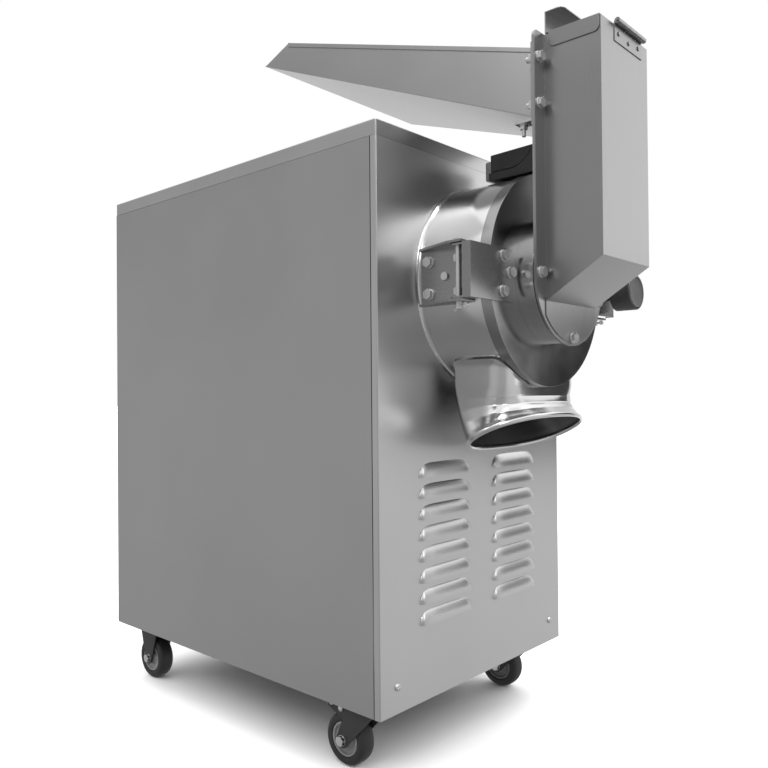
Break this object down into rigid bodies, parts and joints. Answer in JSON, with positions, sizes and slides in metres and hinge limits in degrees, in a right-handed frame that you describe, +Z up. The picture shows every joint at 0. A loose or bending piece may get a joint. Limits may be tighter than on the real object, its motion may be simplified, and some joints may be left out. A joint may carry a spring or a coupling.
{
  "type": "hammer mill",
  "caption": "Stainless hammer mill on a wheeled cabinet, with a hinged chamber door, a lidded feed chute, a tray and a flared spout.",
  "frame": {"origin": "on the floor, under the middle of the machine's bounding box", "axes": "+Z up; the grinding chamber, chute and spout are on the -Y side, which is the front; +X is to the right seen from the front"},
  "size_m": [0.47, 0.9513, 1.093],
  "materials": {
    "cabinet_steel": "brushed satin",
    "cover_steel": "brushed satin",
    "chamber_steel": "polished stainless steel",
    "chute_steel": "brushed",
    "bracket_steel": "brushed",
    "bolt_zinc": "bright zinc plate",
    "knob_steel": "knurled",
    "rotor_steel": "turned",
    "hammer_steel": "hardened",
    "frame_paint": "black powder coat",
    "motor_paint": "grey-blue enamel",
    "cast_grey": "as cast, painted",
    "black_plastic": "fine grained",
    "green_plastic": "moulded",
    "red_plastic": "moulded",
    "black_rubber": "smooth",
    "belt_rubber": "cloth faced",
    "wheel_tread": "smooth tread on a grey hub"
  },
  "bodies": {
    "cabinet": {"base_frame": "frame_paint", "front_panel": "cabinet_steel", "left_panel": "cabinet_steel", "right_panel": "cabinet_steel", "rear_panel": "cabinet_steel", "top_cover": "cover_steel", "panel_screws": "bolt_zinc", "switch_plate": "black_plastic", "cable_gland": "black_plastic", "chamber_drum": "chamber_steel", "discharge_spout": "chamber_steel", "sizing_screen": "rotor_steel", "bearing_housing": "cast_grey", "motor_body": "motor_paint", "motor_plate": "frame_paint", "drive_belts": "belt_rubber", "interlock_base": "black_plastic", "interlock_cover": "black_plastic", "hinge_bracket": "bracket_steel", "latch_bracket": "bracket_steel", "bracket_bolts": "bolt_zinc", "bracket_pins": "bolt_zinc", "caster_plates": "frame_paint", "caster_bolts": "bolt_zinc", "caster_rear_forks": "frame_paint"},
    "door": {"chamber_door": "chamber_steel", "door_seal": "black_rubber", "inlet_boss": "chamber_steel", "chute_gasket": "black_rubber", "chute_plate": "bracket_steel", "door_hinge_bracket": "bracket_steel", "door_latch_bracket": "bracket_steel", "door_bolts": "bolt_zinc", "feed_chute": "chute_steel", "feed_tray": "chute_steel", "chute_bolts": "bolt_zinc", "lid_hinge_leaf": "bracket_steel"},
    "lid": {"chute_lid": "chute_steel", "lid_hinge_strap": "bracket_steel"},
    "rotor": {"rotor_shaft": "rotor_steel", "rotor_discs": "rotor_steel", "hammer_pins": "rotor_steel", "driven_pulley": "cast_grey"},
    "swing_bolt": {"swing_bolt": "bolt_zinc"},
    "knob": {"latch_knob": "knob_steel"},
    "drive_pulley": {"motor_pulley": "cast_grey"},
    "hammer_set_1": {"hammers_1": "hammer_steel"},
    "hammer_set_2": {"hammers_2": "hammer_steel"},
    "hammer_set_3": {"hammers_3": "hammer_steel"},
    "hammer_set_4": {"hammers_4": "hammer_steel"},
    "start_push": {"start_button": "green_plastic"},
    "stop_push": {"stop_button": "red_plastic"},
    "front_left_fork": {"caster_front_left_fork": "frame_paint"},
    "front_left_brake": {"caster_front_left_brake": "frame_paint"},
    "front_right_fork": {"caster_front_right_fork": "frame_paint"},
    "front_right_brake": {"caster_front_right_brake": "frame_paint"},
    "front_left_wheel": {"caster_front_left_wheel": "wheel_tread"},
    "front_right_wheel": {"caster_front_right_wheel": "wheel_tread"},
    "rear_left_wheel": {"caster_rear_left_wheel": "wheel_tread"},
    "rear_right_wheel": {"caster_rear_right_wheel": "wheel_tread"}
  },
  "joints": [
    {"name": "door_swing", "type": "hinge", "parent": "cabinet", "child": "door", "pos_m": [-0.187, -0.32535, 0.69], "axis": [0, 0, -1], "range_deg": [0, 110]},
    {"name": "lid_swing", "type": "hinge", "parent": "door", "child": "lid", "pos_m": [0, -0.47185, 1.0168], "axis": [1, 0, 0], "range_deg": [0, 110]},
    {"name": "latch_swing", "type": "hinge", "parent": "cabinet", "child": "swing_bolt", "pos_m": [0.187, -0.32535, 0.687], "axis": [0, 0, 1], "range_deg": [0, 100]},
    {"name": "knob_spin", "type": "hinge", "parent": "swing_bolt", "child": "knob", "pos_m": [0.187, -0.37635, 0.687], "axis": [0, -1, 0], "continuous": true},
    {"name": "rotor_spin", "type": "hinge", "parent": "cabinet", "child": "rotor", "pos_m": [0, -0.22635, 0.69], "axis": [0, 1, 0], "continuous": true},
    {"name": "motor_spin", "type": "hinge", "parent": "cabinet", "child": "drive_pulley", "pos_m": [0, 0.02365, 0.245], "axis": [0, 1, 0], "continuous": true},
    {"name": "hammer_swing_1", "type": "hinge", "parent": "rotor", "child": "hammer_set_1", "pos_m": [-0.05798, -0.28135, 0.63202], "axis": [0, 1, 0], "continuous": true},
    {"name": "hammer_swing_2", "type": "hinge", "parent": "rotor", "child": "hammer_set_2", "pos_m": [-0.05798, -0.28135, 0.74798], "axis": [0, 1, 0], "continuous": true},
    {"name": "hammer_swing_3", "type": "hinge", "parent": "rotor", "child": "hammer_set_3", "pos_m": [0.05798, -0.28135, 0.63202], "axis": [0, 1, 0], "continuous": true},
    {"name": "hammer_swing_4", "type": "hinge", "parent": "rotor", "child": "hammer_set_4", "pos_m": [0.05798, -0.28135, 0.74798], "axis": [0, 1, 0], "continuous": true},
    {"name": "front_left_swivel", "type": "hinge", "parent": "cabinet", "child": "front_left_fork", "pos_m": [-0.195, -0.16635, 0.09], "axis": [0, 0, 1], "continuous": true},
    {"name": "front_left_roll", "type": "hinge", "parent": "front_left_fork", "child": "front_left_wheel", "pos_m": [-0.195, -0.13135, 0.0375], "axis": [1, 0, 0], "continuous": true},
    {"name": "front_left_brake_press", "type": "hinge", "parent": "front_left_fork", "child": "front_left_brake", "pos_m": [-0.195, -0.11235, 0.087], "axis": [-1, 0, 0], "range_deg": [0, 12]},
    {"name": "front_right_swivel", "type": "hinge", "parent": "cabinet", "child": "front_right_fork", "pos_m": [0.195, -0.16635, 0.09], "axis": [0, 0, 1], "continuous": true},
    {"name": "front_right_roll", "type": "hinge", "parent": "front_right_fork", "child": "front_right_wheel", "pos_m": [0.195, -0.13135, 0.0375], "axis": [1, 0, 0], "continuous": true},
    {"name": "front_right_brake_press", "type": "hinge", "parent": "front_right_fork", "child": "front_right_brake", "pos_m": [0.195, -0.11235, 0.087], "axis": [-1, 0, 0], "range_deg": [0, 12]},
    {"name": "rear_left_roll", "type": "hinge", "parent": "cabinet", "child": "rear_left_wheel", "pos_m": [-0.195, 0.38365, 0.0375], "axis": [1, 0, 0], "continuous": true},
    {"name": "rear_right_roll", "type": "hinge", "parent": "cabinet", "child": "rear_right_wheel", "pos_m": [0.195, 0.38365, 0.0375], "axis": [1, 0, 0], "continuous": true},
    {"name": "start_press", "type": "slide", "parent": "cabinet", "child": "start_push", "axis": [0, -1, 0], "range_m": [0, 0.003], "stiffness_N_per_m": 300, "springref_m": -0.002},
    {"name": "stop_press", "type": "slide", "parent": "cabinet", "child": "stop_push", "axis": [0, -1, 0], "range_m": [0, 0.003], "stiffness_N_per_m": 300, "springref_m": -0.002}
  ],
  "couplings": [
    {"joint": "motor_spin", "follows": "rotor_spin", "ratio": 1.3333}
  ]
}
